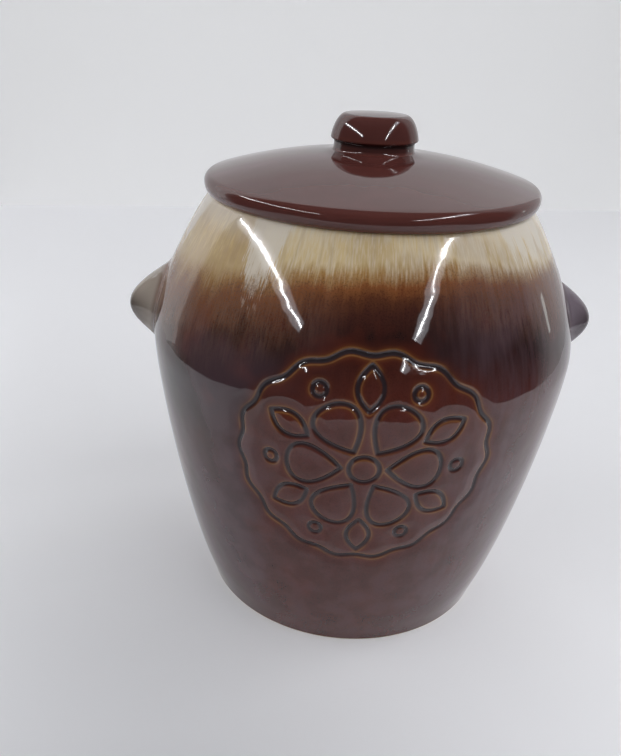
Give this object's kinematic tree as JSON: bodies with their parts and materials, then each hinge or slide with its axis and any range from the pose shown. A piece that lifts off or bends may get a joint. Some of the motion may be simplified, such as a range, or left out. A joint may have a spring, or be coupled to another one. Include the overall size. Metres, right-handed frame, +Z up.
{
  "type": "biscuit jar",
  "caption": "Lidded stoneware biscuit jar with a rounded belly, ear-shaped side lugs and a loose domed lid with a button knob.",
  "frame": {"origin": "middle of the foot ring's underside, on the surface that the jar stands on", "axes": "+Z up along the jar's axis, -Y towards the decorated front, the lugs along X"},
  "size_m": [0.2392, 0.212, 0.2489],
  "materials": {
    "jar_glaze": "gloss brown glaze with a cream and tan drip band below the rim",
    "lid_glaze": "gloss dark brown glaze"
  },
  "bodies": {
    "jar": {"jar_body": "jar_glaze", "lug_left": "jar_glaze", "lug_right": "jar_glaze"},
    "lid": {"lid": "lid_glaze", "lid_knob": "lid_glaze"}
  },
  "joints": [
    {"name": "lid_lift", "type": "slide", "parent": "jar", "child": "lid", "axis": [0, 0, 1], "range_m": [0, 0.12]}
  ]
}
